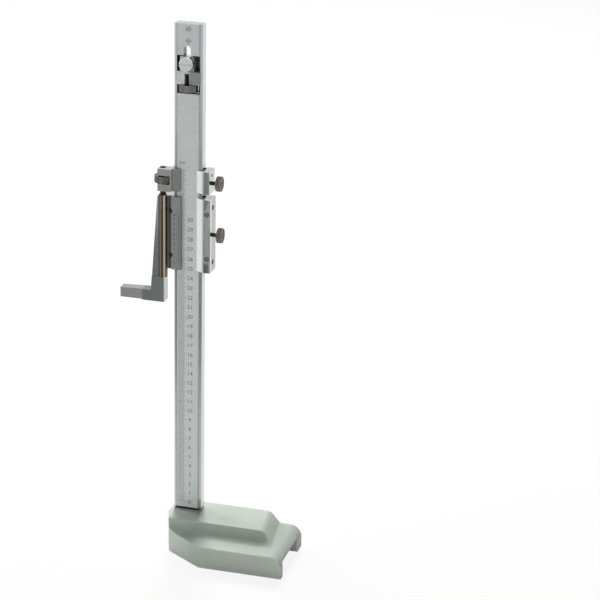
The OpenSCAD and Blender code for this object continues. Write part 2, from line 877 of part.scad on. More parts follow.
module vernier_screws() {
    color([0.22, 0.22, 0.23])
        for (z = plate_screw_heights())
            plate_screw(vernier_screw_x, flange_front, z);
}

module guide_plate() {
    color([0.86, 0.88, 0.86])
        difference() {
            reading_lip(guide_front, block_out, [slider_bottom, slider_top]);
            for (z = plate_screw_heights()) {
                rod_y(guide_screw_x, [guide_front - cut, plate_back + cut], z, plate_screw_d + 2 * fit);
                rod_y(guide_screw_x, [guide_front - cut, guide_front + guide_sink], z, recess_d);
            }
        }
}

module guide_plate_screws() {
    color([0.30, 0.30, 0.31])
        for (z = plate_screw_heights())
            plate_screw(guide_screw_x, guide_front + guide_sink, z);
}

module slider_gib() {
    color([0.50, 0.47, 0.40])
        gib([slider_bottom, slider_top]);
}

module slider_gib_screws() {
    color([0.16, 0.16, 0.17])
        for (z = gib_screw_heights())
            gib_screw(z, block_out);
}

module jaw() {
    outline = [
        [arm_right, rest_height], [-jaw_reach, rest_height], [-jaw_reach, foot_tip_z],
        [arm_root_x, foot_root_z], [arm_top_x, arm_top], [wall_out, arm_top],
        [wall_out, arm_step_z], [arm_right, arm_step_z]
    ];
    far = jaw_reach + cut;
    color([0.38, 0.41, 0.42])
        difference() {
            slab_xz([-jaw_front, back_out], outline);
            span([-far, feed_x], [-jaw_front - cut, -arm_front], [rod_bottom, slider_top + cut]);
            span([feed_x, 0], [-jaw_front - cut, feed_y], [rod_bottom, slider_top + cut]);
            span([-far, 0], [jaw_back, back_out + cut], [rest_height - cut, arm_step_z]);
            span([-far, -jaw_reach + nose_len], [-jaw_front - cut, -jaw_front + nose_setback],
                [rest_height - cut, foot_root_z + cut]);
            rod_z(feed_x, feed_y, [rod_bottom, slider_top + cut], rod_d + 2 * run_play);
            rod_z(feed_x, feed_y, [rod_bottom - spigot_h - end_gap, rod_bottom + cut], spigot_d + 2 * fit);
            for (z = jaw_screw_heights()) {
                rod_x([jaw_head_x - cut, 0], jaw_screw_y, z, jaw_screw_d + 2 * fit);
                rod_x([-far, jaw_head_x], jaw_screw_y, z, jaw_head_d + 2 * head_play);
            }
        }
}

module jaw_screws() {
    color([0.20, 0.20, 0.21])
        for (z = jaw_screw_heights())
            difference() {
                union() {
                    rod_x([jaw_head_x - jaw_head_t, jaw_head_x], jaw_screw_y, z, jaw_head_d);
                    rod_x([jaw_head_x, jaw_screw_end], jaw_screw_y, z, jaw_screw_d);
                }
                translate([jaw_head_x - jaw_head_t - cut, jaw_screw_y, z])
                    rotate([0, 90, 0])
                        cylinder(d = jaw_screw_d, h = cut + jaw_head_t / 2, $fn = 6);
            }
}

function feed_pin_z() = rod_top - feed_seat / 2;

module feed_rod() {
    color([0.72, 0.66, 0.58])
        difference() {
            union() {
                rod_z(feed_x, feed_y, [rod_bottom, rod_top], rod_d);
                rod_z(feed_x, feed_y, [rod_bottom - spigot_h, rod_bottom + cut], spigot_d);
            }
            rod_z(feed_x, feed_y, [rod_top - feed_seat, rod_top + cut], feed_d + 2 * fit);
            rod_y(feed_x, [feed_y - rod_d, feed_y + rod_d], feed_pin_z(), feed_pin_d + 2 * fit);
        }
}

module feed_screw() {
    color([0.13, 0.13, 0.14])
        difference() {
            rod_z(feed_x, feed_y, [rod_top - feed_seat, feed_top], feed_d);
            rod_y(feed_x, [feed_y - rod_d, feed_y + rod_d], feed_pin_z(), feed_pin_d + 2 * fit);
        }
}

module feed_screw_pin() {
    color([0.40, 0.40, 0.41])
        rod_y(feed_x, [feed_y - rod_d / 2 + pin_sink, feed_y + rod_d / 2 - pin_sink],
            feed_pin_z(), feed_pin_d);
}

module slider_clamp_knob() {
    color([0.36, 0.31, 0.29])
        clamp_knob(slider_mid, block_out);
}

module slider_clamp_stem() {
    color([0.13, 0.13, 0.14])
        clamp_stem(slider_mid, block_out);
}

base();
column();
column_screws();
top_plate();
top_plate_screws();
scale_anchor();
scale_lock_nut();
scale_lock_screw();
scale_adjust_nut();
main_scale();
scale_lug();
scale_rivets();
scale_stud();
carrier_body();
carrier_gib();
carrier_gib_screw();
carrier_clamp_knob();
carrier_clamp_stem();
feed_nut();
slider_body();
vernier_plate();
vernier_screws();
guide_plate();
guide_plate_screws();
slider_gib();
slider_gib_screws();
jaw();
jaw_screws();
feed_rod();
feed_screw();
feed_screw_pin();
slider_clamp_knob();
slider_clamp_stem();
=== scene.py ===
"""Looks of a vernier height gauge.

Painted casting, ground column, satin scale, knurled wheels and fine threads."""
import math

import bpy
from mathutils import Matrix, Vector


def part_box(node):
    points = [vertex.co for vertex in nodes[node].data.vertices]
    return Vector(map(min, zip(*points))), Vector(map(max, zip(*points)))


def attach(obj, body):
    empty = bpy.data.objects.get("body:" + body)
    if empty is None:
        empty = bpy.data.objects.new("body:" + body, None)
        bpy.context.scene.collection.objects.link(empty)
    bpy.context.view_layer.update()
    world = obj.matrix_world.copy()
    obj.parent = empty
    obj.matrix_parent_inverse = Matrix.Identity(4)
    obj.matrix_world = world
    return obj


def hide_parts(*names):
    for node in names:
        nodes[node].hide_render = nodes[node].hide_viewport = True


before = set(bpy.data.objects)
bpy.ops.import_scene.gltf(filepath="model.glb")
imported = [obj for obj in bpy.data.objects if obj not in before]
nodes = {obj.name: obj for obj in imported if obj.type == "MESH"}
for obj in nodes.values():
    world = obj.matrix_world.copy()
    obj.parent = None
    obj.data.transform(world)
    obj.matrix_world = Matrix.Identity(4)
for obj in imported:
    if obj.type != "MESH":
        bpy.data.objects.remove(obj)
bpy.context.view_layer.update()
MM = 0.001


def middle(node):
    """Centre of a node's box, in millimetres."""
    low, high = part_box(node)
    return (low + high) / 2 / MM


# Places on the gauge, in millimetres
SCALE_FACE_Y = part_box("main_scale")[0].y / MM
SCALE_ZERO_Z = 42.0
VERNIER_FACE_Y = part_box("vernier_plate")[0].y / MM
VERNIER_EDGE_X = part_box("vernier_plate")[1].x / MM
VERNIER_ZERO_Z = 298.0
VERNIER_LIP_X = -16.25
GUIDE_EDGE_X, GUIDE_LIP_X = 8.5, 16.6
NOSE_X = -46.3
ARM_SIDE_X = -23.35
SCALE_EDGE_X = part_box("main_scale")[1].x / MM
BLOCK_SIDE_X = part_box("slider_body")[1].x / MM

# Borders of colour on the gauge, in millimetres: most of them bound painted light and shade
LEFT_OF_ALL, RIGHT_OF_ALL, ABOVE_ALL = -80.0, 40.0, 1000.0
COLUMN_SIDE_X = 13.8
GAP_SHADE_LEFT, GAP_SHADE_RIGHT = 1.0, 2.2
ANCHOR_SHADE_X = 1.0
CARRIER_LIP_X, CARRIER_GAP_X, CARRIER_SIDE_X = -15.0, GUIDE_EDGE_X - 1, 22.1
JAW_END_X = (-21.6, -19.5)
ARM_LIT_Z, ARM_LIT_HAZE = 338.0, 34.0
ROD_SHADE_X = middle("feed_rod").x - 1.3

# Selection and mesh helpers


def clear_selection():
    """Leave edit mode and deselect everything."""
    if bpy.context.object and bpy.context.object.mode != "OBJECT":
        bpy.ops.object.mode_set(mode="OBJECT")
    bpy.ops.object.select_all(action="DESELECT")


def pick(obj):
    """Make one object the only selected and active one."""
    clear_selection()
    obj.select_set(True)
    bpy.context.view_layer.objects.active = obj
    return obj


def settle(obj):
    """Apply modifiers, then move place, turn and scale into the mesh."""
    pick(obj)
    for modifier in list(obj.modifiers):
        bpy.ops.object.modifier_apply(modifier=modifier.name)
    bpy.ops.object.transform_apply(location=True, rotation=True, scale=True)
    return obj


def join(name, objs):
    """Join several objects into one that carries the given name."""
    clear_selection()
    for obj in objs:
        obj.select_set(True)
    bpy.context.view_layer.objects.active = objs[0]
    if len(objs) > 1:
        bpy.ops.object.join()
    whole = bpy.context.object
    whole.name = name
    whole.data.name = name
    return whole


def select_verts(obj, wanted):
    """Select the vertices for which wanted(co) is true, and leave edit mode on them."""
    bpy.ops.object.mode_set(mode="EDIT")
    bpy.ops.mesh.select_mode(type="VERT")
    bpy.ops.mesh.select_all(action="DESELECT")
    bpy.ops.object.mode_set(mode="OBJECT")
    for vert in obj.data.vertices:
        vert.select = bool(wanted(vert.co))
    bpy.ops.object.mode_set(mode="EDIT")


def select_faces(obj, wanted):
    """Select the faces for which wanted(polygon) is true, and leave edit mode on them."""
    bpy.ops.object.mode_set(mode="EDIT")
    bpy.ops.mesh.select_mode(type="FACE")
    bpy.ops.mesh.select_all(action="DESELECT")
    bpy.ops.object.mode_set(mode="OBJECT")
    for face in obj.data.polygons:
        face.select = bool(wanted(face))
    bpy.ops.object.mode_set(mode="EDIT")


def turn_about(obj, axis, at):
    """Turn a piece modelled along Z so that it lies along X or Z, and put it at a place in mm."""
    pick(obj)
    turns = {"X": (0, math.pi / 2, 0), "Z": (0, 0, 0)}
    obj.rotation_euler = turns[axis]
    obj.location = [value * MM for value in at]
    return settle(obj)


def dress(obj, material, body, slot, *replaced):
    """Give a finished piece its material and body, and hide the nodes it stands for. The slot is
    not used.
    """
    obj.data.materials.clear()
    obj.data.materials.append(material)
    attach(obj, body)
    if replaced:
        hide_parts(*replaced)


# Shader groups


def new_group(name, inputs, outputs):
    """An empty shader group with float or vector sockets."""
    group = bpy.data.node_groups.new(name, "ShaderNodeTree")
    for label, kind, value in inputs:
        socket = group.interface.new_socket(label, in_out="INPUT", socket_type=kind)
        if value is not None:
            socket.default_value = value
    for label, kind in outputs:
        group.interface.new_socket(label, in_out="OUTPUT", socket_type=kind)
    start = group.nodes.new("NodeGroupInput")
    end = group.nodes.new("NodeGroupOutput")
    return group, start, end


def grain_group():
    """Fine parallel grinding marks: noise that is drawn out along one direction."""
    group, start, end = new_group(
        "grinding_marks",
        [("Vector", "NodeSocketVector", None), ("Stretch", "NodeSocketVector", (1, 1, 1)),
         ("Contrast", "NodeSocketFloat", 0.5)],
        [("Marks", "NodeSocketFloat")],
    )
    scale = group.nodes.new("ShaderNodeVectorMath")
    scale.operation = "MULTIPLY"
    noise = group.nodes.new("ShaderNodeTexNoise")
    noise.inputs["Scale"].default_value = 1.0
    noise.inputs["Detail"].default_value = 4.0
    noise.inputs["Roughness"].default_value = 0.65
    centre = group.nodes.new("ShaderNodeMath")
    centre.operation = "SUBTRACT"
    centre.inputs[1].default_value = 0.5
    boost = group.nodes.new("ShaderNodeMath")
    boost.operation = "MULTIPLY_ADD"
    boost.inputs[2].default_value = 0.5
    boost.use_clamp = True
    group.links.new(start.outputs["Vector"], scale.inputs[0])
    group.links.new(start.outputs["Stretch"], scale.inputs[1])
    group.links.new(scale.outputs[0], noise.inputs["Vector"])
    group.links.new(noise.outputs["Fac"], centre.inputs[0])
    group.links.new(centre.outputs[0], boost.inputs[0])
    group.links.new(start.outputs["Contrast"], boost.inputs[1])
    group.links.new(boost.outputs[0], end.inputs["Marks"])
    return group


def handling_group():
    """Broad cloudy stains of handling and oil."""
    group, start, end = new_group(
        "handling_stains",
        [("Vector", "NodeSocketVector", None), ("Scale", "NodeSocketFloat", 60.0)],
        [("Stain", "NodeSocketFloat")],
    )
    noise = group.nodes.new("ShaderNodeTexNoise")
    noise.inputs["Detail"].default_value = 5.0
    noise.inputs["Roughness"].default_value = 0.6
    spread = group.nodes.new("ShaderNodeMapRange")
    spread.inputs["From Min"].default_value = 0.3
    spread.inputs["From Max"].default_value = 0.72
    group.links.new(start.outputs["Vector"], noise.inputs["Vector"])
    group.links.new(start.outputs["Scale"], noise.inputs["Scale"])
    group.links.new(noise.outputs["Fac"], spread.inputs["Value"])
    group.links.new(spread.outputs["Result"], end.inputs["Stain"])
    return group


def edge_group():
    """Mask of edges, for wear and painted glint: where a rounded normal leaves the true one."""
    group, start, end = new_group(
        "worn_and_glinting_edges",
        [("Radius", "NodeSocketFloat", 0.0004), ("Gain", "NodeSocketFloat", 5.0)],
        [("Edge", "NodeSocketFloat")],
    )
    bevel = group.nodes.new("ShaderNodeBevel")
    bevel.samples = 4
    geometry = group.nodes.new("ShaderNodeNewGeometry")
    dot = group.nodes.new("ShaderNodeVectorMath")
    dot.operation = "DOT_PRODUCT"
    lack = group.nodes.new("ShaderNodeMath")
    lack.operation = "SUBTRACT"
    lack.inputs[0].default_value = 1.0
    gain = group.nodes.new("ShaderNodeMath")
    gain.operation = "MULTIPLY"
    gain.use_clamp = True
    group.links.new(start.outputs["Radius"], bevel.inputs["Radius"])
    group.links.new(bevel.outputs["Normal"], dot.inputs[0])
    group.links.new(geometry.outputs["Normal"], dot.inputs[1])
    group.links.new(dot.outputs["Value"], lack.inputs[1])
    group.links.new(lack.outputs[0], gain.inputs[0])
    group.links.new(start.outputs["Gain"], gain.inputs[1])
    group.links.new(gain.outputs[0], end.inputs["Edge"])
    return group


def crevice_group(name, own_only):
    """Mask of crevices, for painted shade: between all pieces, or in the piece's own hollows."""
    group, start, end = new_group(
        name,
        [("Reach", "NodeSocketFloat", 0.001), ("Clear", "NodeSocketFloat", 0.85)],
        [("Painted_Shade", "NodeSocketFloat")],
    )
    hidden = group.nodes.new("ShaderNodeAmbientOcclusion")
    hidden.samples = 6
    hidden.only_local = own_only
    spread = group.nodes.new("ShaderNodeMapRange")
    spread.inputs["From Max"].default_value = 0.30
    group.links.new(start.outputs["Clear"], spread.inputs["From Min"])
    group.links.new(start.outputs["Reach"], hidden.inputs["Distance"])
    group.links.new(hidden.outputs["AO"], spread.inputs["Value"])
    group.links.new(spread.outputs["Result"], end.inputs["Painted_Shade"])
    return group


GRAIN = grain_group()
HANDLING = handling_group()
EDGE = edge_group()
CREVICE = crevice_group("crevice_painted_shade", False)
HOLLOW = crevice_group("hollow_shade", True)


class Finish:
    """A material under construction: nodes are added by kind and linked by socket names."""

    def __init__(self, name):
        self.material = bpy.data.materials.new(name)
        self.material.use_nodes = True
        self.tree = self.material.node_tree
        self.shader = self.tree.nodes["Principled BSDF"]
        self.place = self.add("ShaderNodeTexCoord").outputs["Object"]

    def add(self, kind, **values):
        """A node of a kind, with values on its sockets."""
        node = self.tree.nodes.new(kind)
        for label, value in values.items():
            node.inputs[label].default_value = value
        return node

    def group(self, group, **values):
        """A shared shader group, with values on its sockets and the place linked in."""
        node = self.tree.nodes.new("ShaderNodeGroup")
        node.node_tree = group
        for label, value in values.items():
            node.inputs[label].default_value = value
        if "Vector" in node.inputs:
            self.link(self.place, node.inputs["Vector"])
        return node

    def link(self, source, target):
        """Join an output to an input."""
        self.tree.links.new(source, target)

    def mix(self, factor, first, second, blend="MIX"):
        """A colour mix. first and second are colours or sockets, factor a number or a socket."""
        node = self.tree.nodes.new("ShaderNodeMix")
        node.data_type = "RGBA"
        node.blend_type = blend
        for index, value in ((0, factor), (6, first), (7, second)):
            if isinstance(value, bpy.types.NodeSocket):
                self.link(value, node.inputs[index])
            else:
                node.inputs[index].default_value = value
        return node.outputs[2]

    def span(self, value, low, high):
        """A value from 0 to 1 spread between low and high."""
        node = self.tree.nodes.new("ShaderNodeMapRange")
        node.inputs["To Min"].default_value = low
        node.inputs["To Max"].default_value = high
        self.link(value, node.inputs["Value"])
        return node.outputs["Result"]

    def within(self, low, high, soft=0.05, axis="X"):
        """1 between two places along an axis in mm and 0 outside them, with soft borders."""
        split = self.tree.nodes.new("ShaderNodeSeparateXYZ")
        self.link(self.place, split.inputs[0])
        both = self.tree.nodes.new("ShaderNodeMath")
        both.operation = "MULTIPLY"
        for index, (place, way) in enumerate(((low, 1), (high, -1))):
            border = self.tree.nodes.new("ShaderNodeMapRange")
            border.interpolation_type = "SMOOTHSTEP"
            border.inputs["From Min"].default_value = (place - way * soft) * MM
            border.inputs["From Max"].default_value = (place + way * soft) * MM
            self.link(split.outputs[axis], border.inputs["Value"])
            self.link(border.outputs["Result"], both.inputs[index])
        return both.outputs[0]

    def bump(self, height, strength, distance, below=None):
        """A normal bent by a height, on top of another normal where one is given."""
        node = self.add("ShaderNodeBump", Strength=strength, Distance=distance)
        self.link(height, node.inputs["Height"])
        if below is not None:
            self.link(below, node.inputs["Normal"])
        return node.outputs["Normal"]


def tone(red, green, blue, share=1.0):
    """A colour for a socket, with every channel times share."""
    return (red * share, green * share, blue * share, 1.0)


# Colour of the painted shade in crevices
CREVICE_SHADE_TONE = tone(0.028, 0.027, 0.024)
# How fine the marks are along X, Y and Z: coarse along their direction, fine across it
STRETCH = {
    "X": (90, 4200, 4200),
    "Z": (4200, 4200, 90),
    "none": (2600, 2600, 2600),
}
DULL_METAL = 0.15
ROUGH_SWING = 0.06
SMOOTHEST = 0.02
LIT_LEAST, LIT_SHARE = 0.35, 0.75


def steel(name, colour, rough, grain="Z", marks=0.12, metal=1.0, depth=0.00001, edge_wear_and_glint=0.35,
          stain=0.10, mottle=0.05, crevice_shade_share=0.7, reach=0.0012, zones=(), soft=0.05, dull=None,
          lit_upper_part=None):
    """Ground or turned steel: marks, mottling, cloudy handling, crevices darkened as painted shade,
    and pale edges that are partly wear and partly painted glint.

    Each zone gives another colour between two places along X, in mm, with borders as soft as
    given. A dull stretch, also along X, is matt. A lighter upper part, which is painted light, has
    the height where it begins, the softness of that border and a colour."""
    made = Finish(name)
    made.shader.inputs["Metallic"].default_value = metal
    ground = tone(*colour)
    for low, high, other in zones:
        ground = made.mix(made.within(low, high, soft), ground, tone(*other))
    if lit_upper_part:
        height, haze, other = lit_upper_part
        ground = made.mix(made.within(height, ABOVE_ALL, haze, "Z"), ground, tone(*other))
    if dull:
        metal_here = made.span(made.within(*dull), metal, DULL_METAL)
        made.link(metal_here, made.shader.inputs["Metallic"])
    lines = made.group(GRAIN, Stretch=STRETCH[grain], Contrast=1.6).outputs["Marks"]
    cloud = made.group(HANDLING, Scale=55.0).outputs["Stain"]
    spots = made.group(HANDLING, Scale=420.0).outputs["Stain"]
    edge = made.group(EDGE, Radius=0.0003, Gain=4.0).outputs["Edge"]
    # Crevices and contact lines darkened: painted shade
    crevice_shade = made.group(CREVICE, Reach=reach).outputs["Painted_Shade"]
    streaked = made.mix(1.0, ground, made.span(lines, 1 - marks, 1 + marks), "MULTIPLY")
    spot = made.mix(1.0, streaked, tone(1, 1, 1, 1 - 2 * mottle), "MULTIPLY")
    spotted = made.mix(spots, streaked, spot)
    shade = made.mix(1.0, spotted, tone(1 - stain, 1 - stain, 1 - 0.8 * stain), "MULTIPLY")
    stained = made.mix(cloud, spotted, shade)
    # Edges turned pale: partly wear, partly a painted glint
    lit = tone(*(min(1.0, LIT_LEAST + LIT_SHARE * channel) for channel in colour))
    worn_and_glinting = made.mix(made.span(edge, 0.0, edge_wear_and_glint), stained, lit)
    crevice_shaded = made.mix(made.span(crevice_shade, 0.0, crevice_shade_share), worn_and_glinting, CREVICE_SHADE_TONE)
    made.link(crevice_shaded, made.shader.inputs["Base Color"])
    roughness = made.span(lines, max(SMOOTHEST, rough - ROUGH_SWING), rough + ROUGH_SWING)
    made.link(roughness, made.shader.inputs["Roughness"])
    made.link(made.bump(lines, 0.35, depth), made.shader.inputs["Normal"])
    return made.material


def machine_paint(name, colour):
    """Sprayed machine paint over a casting: orange peel, faint clouds, pale edges that are partly
    wear and partly painted highlight, and painted shade in hollows.
    """
    made = Finish(name)
    peel = made.add("ShaderNodeTexNoise", Scale=900.0, Detail=3.0, Roughness=0.55)
    swell = made.add("ShaderNodeTexNoise", Scale=120.0, Detail=2.0)
    speck = made.add("ShaderNodeTexVoronoi", Scale=700.0)
    for node in (peel, swell, speck):
        made.link(made.place, node.inputs["Vector"])
    cloud = made.group(HANDLING, Scale=28.0).outputs["Stain"]
    edge = made.group(EDGE, Radius=0.003, Gain=4.0).outputs["Edge"]
    clouded = made.mix(cloud, tone(*colour, 0.90), tone(*colour, 1.06))
    pale = made.mix(made.span(peel.outputs["Fac"], 0.0, 0.4), clouded, tone(*colour, 1.25))
    # Pale edges: partly wear, partly a painted highlight
    worn_and_glinting = made.mix(made.span(edge, 0.0, 0.9), pale, tone(0.78, 0.83, 0.77))
    # Hollows darkened: painted shade
    hollow = made.group(HOLLOW, Reach=0.022, Clear=0.96).outputs["Painted_Shade"]
    shaded = made.mix(made.span(hollow, 0.0, 0.9), worn_and_glinting, tone(*colour, 0.35))
    dust = made.span(speck.outputs["Distance"], 0.06, 0.0)
    dusty = made.mix(dust, shaded, tone(0.30, 0.32, 0.30))
    made.link(dusty, made.shader.inputs["Base Color"])
    made.link(made.span(cloud, 0.42, 0.56), made.shader.inputs["Roughness"])
    made.shader.inputs["Specular IOR Level"].default_value = 0.4
    soft = made.add("ShaderNodeBevel", Radius=0.0012)
    soft.samples = 6
    under = made.bump(swell.outputs["Fac"], 0.25, 0.0003, soft.outputs["Normal"])
    made.link(made.bump(peel.outputs["Fac"], 0.30, 0.00009, under), made.shader.inputs["Normal"])
    return made.material


def ink(name, colour):
    """Black filling of engraved lines, slightly uneven."""
    made = Finish(name)
    cloud = made.group(HANDLING, Scale=900.0).outputs["Stain"]
    uneven = made.mix(cloud, tone(*colour), tone(*colour, 2.2))
    made.link(uneven, made.shader.inputs["Base Color"])
    made.link(made.span(cloud, 0.55, 0.8), made.shader.inputs["Roughness"])
    return made.material


PAINT = machine_paint("grey_green_machine_paint", (0.53, 0.595, 0.525))
# Left land and right side face lighter, window and grooves darkened by a longer crevice reach:
# painted light and shade
COLUMN_STEEL = steel(
    "ground_column_steel", (0.80, 0.83, 0.83), rough=0.10, marks=0.06, depth=0.000002, edge_wear_and_glint=0.2,
    crevice_shade_share=0.95, reach=0.010,
    zones=[(LEFT_OF_ALL, -SCALE_EDGE_X, (0.98, 1.0, 1.0)),
           (COLUMN_SIDE_X, RIGHT_OF_ALL, (0.88, 0.91, 0.91))])
SATIN_LOOK = {"rough": 0.50, "grain": "none", "marks": 0.05, "metal": 0.38, "edge_wear_and_glint": 0.1,
              "stain": 0.05, "mottle": 0.08}
# Scale edges beside the column's lands darkened: painted shade of the gaps
SATIN = steel(
    "satin_scale_steel", (0.86, 0.905, 0.89), **SATIN_LOOK, soft=0.7,
    zones=[(LEFT_OF_ALL, -SCALE_EDGE_X + GAP_SHADE_LEFT, (0.55, 0.58, 0.57)),
           (SCALE_EDGE_X - GAP_SHADE_RIGHT, RIGHT_OF_ALL, (0.52, 0.55, 0.54))])
# Right part of the anchor darker: painted shade
ANCHOR = steel(
    "satin_anchor_steel", (0.89, 0.935, 0.92), **SATIN_LOOK, soft=1.2,
    zones=[(ANCHOR_SHADE_X, RIGHT_OF_ALL, (0.40, 0.42, 0.41))])
# Left flange of the vernier plate, left of its lip, darkened: painted shade
SLATE = steel(
    "slate_vernier_steel", (0.41, 0.43, 0.42), rough=0.42, grain="none", marks=0.08, metal=0.8,
    edge_wear_and_glint=0.2, mottle=0.08,
    zones=[(LEFT_OF_ALL, VERNIER_LIP_X, (0.12, 0.12, 0.11))])
BRIGHT = steel(
    "bright_ground_steel", (0.95, 0.97, 0.95), rough=0.13, marks=0.04, edge_wear_and_glint=0.2, stain=0.04,
    mottle=0.02,
    zones=[(GUIDE_LIP_X + 0.1, RIGHT_OF_ALL, (0.93, 0.965, 0.935))],
    dull=(GUIDE_LIP_X - 0.3, GUIDE_LIP_X + 0.1))
TURNED = steel("bright_turned_steel", (0.80, 0.82, 0.81), rough=0.24, grain="none", marks=0.06)
# Right side face of the slider lighter: painted light
BODY = steel(
    "matt_body_steel", (0.76, 0.79, 0.77), rough=0.34, marks=0.08, edge_wear_and_glint=0.3,
    zones=[(BLOCK_SIDE_X - 0.3, RIGHT_OF_ALL, (0.96, 0.98, 0.96))])
# Carrier's left lip darkened; the strip before the guide lip and the right side lightened: painted
# shade and light
CARRIER_STEEL = steel(
    "ground_carrier_steel", (0.66, 0.67, 0.645), rough=0.16, marks=0.06, edge_wear_and_glint=0.3, stain=0.05,
    mottle=0.03,
    zones=[(CARRIER_LIP_X, CARRIER_GAP_X, (0.47, 0.49, 0.47)),
           (CARRIER_GAP_X, GUIDE_LIP_X, (0.98, 1.0, 0.98)),
           (GUIDE_LIP_X, CARRIER_SIDE_X, (0.68, 0.70, 0.675)),
           (CARRIER_SIDE_X, RIGHT_OF_ALL, (0.82, 0.84, 0.82))])
STRIP = steel("drawn_gib_strip", (0.36, 0.32, 0.26), rough=0.30)
# Right side of the jaw arm and its upper part lighter: painted light
JAW_STEEL = steel(
    "hardened_jaw_steel", (0.335, 0.36, 0.355), rough=0.28, grain="X", marks=0.08, edge_wear_and_glint=0.3,
    zones=[(LEFT_OF_ALL, NOSE_X, (0.56, 0.585, 0.575)),
           (ARM_SIDE_X - 0.4, RIGHT_OF_ALL, (0.88, 0.91, 0.90))],
    dull=JAW_END_X, lit_upper_part=(ARM_LIT_Z, ARM_LIT_HAZE, (0.78, 0.80, 0.77)))
# Left side of the rod darkened: a painted dark reflection
ROD_STEEL = steel(
    "polished_rod_steel", (0.54, 0.45, 0.345), rough=0.07, marks=0.05, depth=0.000002, edge_wear_and_glint=0.1,
    stain=0.06, soft=0.6,
    zones=[(LEFT_OF_ALL, ROD_SHADE_X, (0.14, 0.115, 0.08))])
BROWNED = steel(
    "browned_knurled_steel", (0.275, 0.24, 0.232), rough=0.24, grain="none", marks=0.5,
    metal=0.95, edge_wear_and_glint=0.9, mottle=0.45)
DARK_KNURL = steel(
    "dark_knurled_steel", (0.31, 0.31, 0.295), rough=0.24, grain="none", marks=0.30, metal=0.95,
    edge_wear_and_glint=0.6, mottle=0.3)
BLACK = steel(
    "black_oxide_steel", (0.035, 0.035, 0.037), rough=0.36, grain="none", marks=0.25, metal=0.8,
    edge_wear_and_glint=0.4)
SCREW_STEEL = steel(
    "turned_screw_steel", (0.42, 0.43, 0.42), rough=0.20, grain="none", marks=0.12, edge_wear_and_glint=0.6)
# Edges of the dark heads fully pale: painted glints
DARK_SCREW = steel(
    "dark_screw_steel", (0.09, 0.09, 0.085), rough=0.10, grain="none", marks=0.12, edge_wear_and_glint=1.0)
INK = ink("black_filling", (0.012, 0.012, 0.014))

# Carried-over pieces: finish and broken edges

MERGE_REACH = 0.000002
FLAT_DEGREES = 0.3
SHARP_DEGREES = 34


def soften(node, material, width, segments=2):
    """Give a carried-over node its finish, and round its edges by width in mm."""
    obj = nodes[node]
    pick(obj)
    if obj.data.has_custom_normals:
        bpy.ops.mesh.customdata_custom_splitnormals_clear()
    obj.data.materials.clear()
    obj.data.materials.append(material)
    obj.data.polygons.foreach_set("use_smooth", [True] * len(obj.data.polygons))
    weld = obj.modifiers.new("merge", "WELD")
    weld.merge_threshold = MERGE_REACH
    flat = obj.modifiers.new("flats", "DECIMATE")
    flat.decimate_type = "DISSOLVE"
    flat.angle_limit = math.radians(FLAT_DEGREES)
    round_edges = obj.modifiers.new("broken_edges", "BEVEL")
    round_edges.width = width * MM
    round_edges.segments = segments
    round_edges.limit_method = "ANGLE"
    round_edges.angle_limit = math.radians(SHARP_DEGREES)
    round_edges.harden_normals = True
    round_edges.use_clamp_overlap = True


# Finish, width of the broken edge in mm and, where the edge is round, its segments
CARRIED = {
    "base": (PAINT, 1.3, 4),
    "column": (COLUMN_STEEL, 0.35),
    "column_screws": (BLACK, 0.2),
    "top_plate": (SATIN, 0.15),
    "top_plate_screws": (TURNED, 0.1),
    "scale_anchor": (ANCHOR, 0.25),
    "scale_lock_nut": (BLACK, 0.25),
    "scale_lock_screw": (BRIGHT, 0.05),
    "main_scale": (SATIN, 0.3),
    "scale_lug": (BODY, 0.2),
    "scale_rivets": (SATIN, 0.05),
    "carrier_body": (CARRIER_STEEL, 0.3),
    "carrier_gib": (STRIP, 0.1),
    "carrier_gib_screw": (BLACK, 0.1),
    "slider_body": (BODY, 0.3),
    "vernier_plate": (SLATE, 0.2),
    "vernier_screws": (DARK_SCREW, 0.5, 4),
    "guide_plate": (BRIGHT, 0.2),
    "guide_plate_screws": (SCREW_STEEL, 0.3, 3),
    "slider_gib": (STRIP, 0.1),
    "slider_gib_screws": (BLACK, 0.1),
    "jaw": (JAW_STEEL, 0.35),
    "jaw_screws": (BLACK, 0.2),
    "feed_rod": (ROD_STEEL, 0.3),
    "feed_screw_pin": (SCREW_STEEL, 0.1),
}
for node_name, looks in CARRIED.items():
    soften(node_name, *looks)

# Graduations and numbers, in millimetres

MARK_PROUD = 0.015
MARK_SUNK = 0.05
MARK_DEEP = MARK_SUNK + MARK_PROUD
MARK_INSET = (MARK_SUNK - MARK_PROUD) / 2
LINE_CORNER = 0.006
LETTER_MERGE = 0.002
FONT_SIZE_PER_HEIGHT = 1.43


def tick_row(x_range, z_start, width, face_y, *repeats):
    """One engraved line, repeated upwards.

    Each repeat is a count and a pitch in mm, and repeats what came before it."""
    clear_selection()
    place = ((x_range[0] + x_range[1]) / 2, face_y + MARK_INSET, z_start)
    bpy.ops.mesh.primitive_cube_add(size=1, location=[value * MM for value in place])
    line = bpy.context.object
    line.scale = [value * MM for value in (x_range[1] - x_range[0], MARK_DEEP, width)]
    settle(line)
    bpy.ops.object.mode_set(mode="EDIT")
    bpy.ops.mesh.select_all(action="SELECT")
    bpy.ops.mesh.bevel(offset=LINE_CORNER * MM, segments=1, affect="EDGES")
    bpy.ops.object.mode_set(mode="OBJECT")
    for count, pitch in repeats:
        rows = line.modifiers.new("rows", "ARRAY")
        rows.count = count
        rows.use_relative_offset = False
        rows.use_constant_offset = True
        rows.constant_offset_displace = (0, 0, pitch * MM)
    return settle(line)


